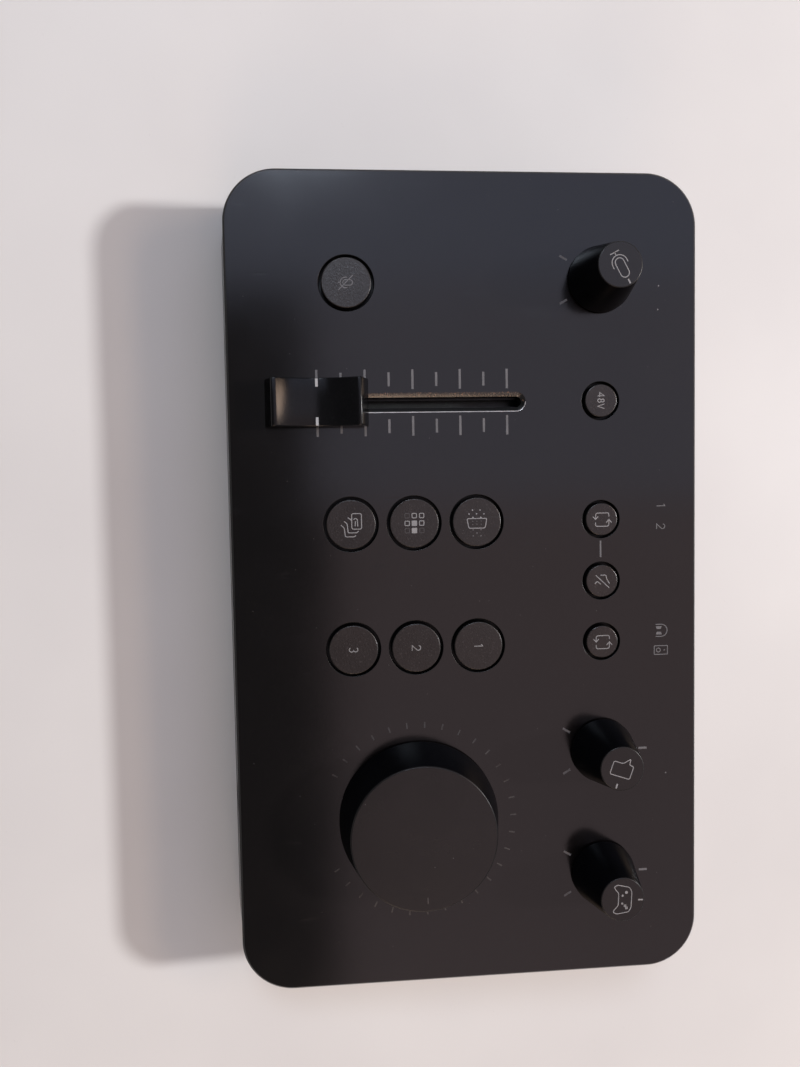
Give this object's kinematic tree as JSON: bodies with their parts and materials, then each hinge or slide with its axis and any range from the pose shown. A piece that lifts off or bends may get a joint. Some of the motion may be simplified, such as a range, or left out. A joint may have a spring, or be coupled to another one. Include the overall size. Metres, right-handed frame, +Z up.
{
  "type": "audio interface",
  "caption": "Wedge-shaped desktop audio interface with a slide fader, turning dials, round push keys and sockets in its rear and front.",
  "frame": {"origin": "on the table, under the middle of the case", "axes": "+X to the right as the user faces it, +Y to the rear, +Z up; the panel rises towards the rear"},
  "size_m": [0.2276, 0.1305, 0.0638],
  "materials": {
    "panel_plastic": "fine satin grain",
    "case_plastic": "satin",
    "cover_plastic": "moulded grain",
    "rear_plate": "powder coat",
    "foot_rubber": "matt",
    "black_steel": "black oxide",
    "board_laminate": "solder resist",
    "ribbon_plastic": "smooth",
    "socket_plastic": "moulded satin",
    "switch_plastic": "moulded",
    "bright_steel": "plated",
    "key_plastic": "soft satin",
    "knob_plastic": "satin, with a lighter top",
    "cap_plastic": "gloss with fine grain"
  },
  "bodies": {
    "case": {"case_shell": "case_plastic", "bottom_cover": "cover_plastic", "rear_panel": "rear_plate", "top_panel": "panel_plastic", "main_board": "board_laminate", "control_board": "board_laminate", "board_ribbon": "ribbon_plastic", "mic_socket": "socket_plastic", "aux_socket": "socket_plastic", "usb_socket_1": "bright_steel", "usb_socket_2": "bright_steel", "speaker_socket_left": "socket_plastic", "speaker_socket_right": "socket_plastic", "headset_socket": "socket_plastic", "fader_frame": "black_steel", "fader_guide_rod": "bright_steel", "foot_front_left": "foot_rubber", "case_screw_front_left": "black_steel", "foot_front_right": "foot_rubber", "case_screw_front_right": "black_steel", "foot_rear_left": "foot_rubber", "case_screw_rear_left": "black_steel", "foot_rear_right": "foot_rubber", "case_screw_rear_right": "black_steel", "mic_mute_switch": "switch_plastic", "effect_1_switch": "switch_plastic", "effect_2_switch": "switch_plastic", "effect_3_switch": "switch_plastic", "pad_1_switch": "switch_plastic", "pad_2_switch": "switch_plastic", "pad_3_switch": "switch_plastic", "phantom_power_switch": "switch_plastic", "source_select_switch": "switch_plastic", "stream_mute_switch": "switch_plastic", "output_select_switch": "switch_plastic", "mic_pot": "bright_steel", "chat_pot": "bright_steel", "game_pot": "bright_steel", "volume_pot": "bright_steel"},
    "fader": {"fader_carriage": "socket_plastic", "fader_cap": "cap_plastic"},
    "mic_dial": {"mic_shaft": "bright_steel", "mic_knob": "knob_plastic"},
    "chat_dial": {"chat_shaft": "bright_steel", "chat_knob": "knob_plastic"},
    "game_dial": {"game_shaft": "bright_steel", "game_knob": "knob_plastic"},
    "volume_dial": {"volume_shaft": "bright_steel", "volume_knob": "knob_plastic"},
    "mic_mute_button": {"mic_mute_key": "key_plastic"},
    "effect_1_button": {"effect_1_key": "key_plastic"},
    "effect_2_button": {"effect_2_key": "key_plastic"},
    "effect_3_button": {"effect_3_key": "key_plastic"},
    "pad_1_button": {"pad_1_key": "key_plastic"},
    "pad_2_button": {"pad_2_key": "key_plastic"},
    "pad_3_button": {"pad_3_key": "key_plastic"},
    "phantom_power_button": {"phantom_power_key": "key_plastic"},
    "source_select_button": {"source_select_key": "key_plastic"},
    "stream_mute_button": {"stream_mute_key": "key_plastic"},
    "output_select_button": {"output_select_key": "key_plastic"}
  },
  "joints": [
    {"name": "fader_slide", "type": "slide", "parent": "case", "child": "fader", "axis": [0, 0.9907, 0.1359], "range_m": [0, 0.0527]},
    {"name": "mic_turn", "type": "hinge", "parent": "case", "child": "mic_dial", "pos_m": [-0.0843, 0.03736, 0.04587], "axis": [0, -0.1359, 0.9907], "range_deg": [-88.2, 211.8]},
    {"name": "chat_turn", "type": "hinge", "parent": "case", "child": "chat_dial", "pos_m": [0.0488, 0.03736, 0.04587], "axis": [0, -0.1359, 0.9907], "range_deg": [-41.3, 258.7]},
    {"name": "game_turn", "type": "hinge", "parent": "case", "child": "game_dial", "pos_m": [0.0847, 0.03736, 0.04587], "axis": [0, -0.1359, 0.9907], "range_deg": [-146.7, 153.3]},
    {"name": "volume_turn", "type": "hinge", "parent": "case", "child": "volume_dial", "pos_m": [0.0665, -0.01532, 0.03865], "axis": [0, -0.1359, 0.9907], "range_deg": [-62, 238]},
    {"name": "mic_mute_press", "type": "slide", "parent": "case", "child": "mic_mute_button", "axis": [0, 0.1359, -0.9907], "range_m": [0, 0.001], "stiffness_N_per_m": 600, "springref_m": -0.0003},
    {"name": "effect_1_press", "type": "slide", "parent": "case", "child": "effect_1_button", "axis": [0, 0.1359, -0.9907], "range_m": [0, 0.001], "stiffness_N_per_m": 600, "springref_m": -0.0003},
    {"name": "effect_2_press", "type": "slide", "parent": "case", "child": "effect_2_button", "axis": [0, 0.1359, -0.9907], "range_m": [0, 0.001], "stiffness_N_per_m": 600, "springref_m": -0.0003},
    {"name": "effect_3_press", "type": "slide", "parent": "case", "child": "effect_3_button", "axis": [0, 0.1359, -0.9907], "range_m": [0, 0.001], "stiffness_N_per_m": 600, "springref_m": -0.0003},
    {"name": "pad_1_press", "type": "slide", "parent": "case", "child": "pad_1_button", "axis": [0, 0.1359, -0.9907], "range_m": [0, 0.001], "stiffness_N_per_m": 600, "springref_m": -0.0003},
    {"name": "pad_2_press", "type": "slide", "parent": "case", "child": "pad_2_button", "axis": [0, 0.1359, -0.9907], "range_m": [0, 0.001], "stiffness_N_per_m": 600, "springref_m": -0.0003},
    {"name": "pad_3_press", "type": "slide", "parent": "case", "child": "pad_3_button", "axis": [0, 0.1359, -0.9907], "range_m": [0, 0.001], "stiffness_N_per_m": 600, "springref_m": -0.0003},
    {"name": "phantom_power_press", "type": "slide", "parent": "case", "child": "phantom_power_button", "axis": [0, 0.1359, -0.9907], "range_m": [0, 0.001], "stiffness_N_per_m": 600, "springref_m": -0.0003},
    {"name": "source_select_press", "type": "slide", "parent": "case", "child": "source_select_button", "axis": [0, 0.1359, -0.9907], "range_m": [0, 0.001], "stiffness_N_per_m": 600, "springref_m": -0.0003},
    {"name": "stream_mute_press", "type": "slide", "parent": "case", "child": "stream_mute_button", "axis": [0, 0.1359, -0.9907], "range_m": [0, 0.001], "stiffness_N_per_m": 600, "springref_m": -0.0003},
    {"name": "output_select_press", "type": "slide", "parent": "case", "child": "output_select_button", "axis": [0, 0.1359, -0.9907], "range_m": [0, 0.001], "stiffness_N_per_m": 600, "springref_m": -0.0003}
  ]
}
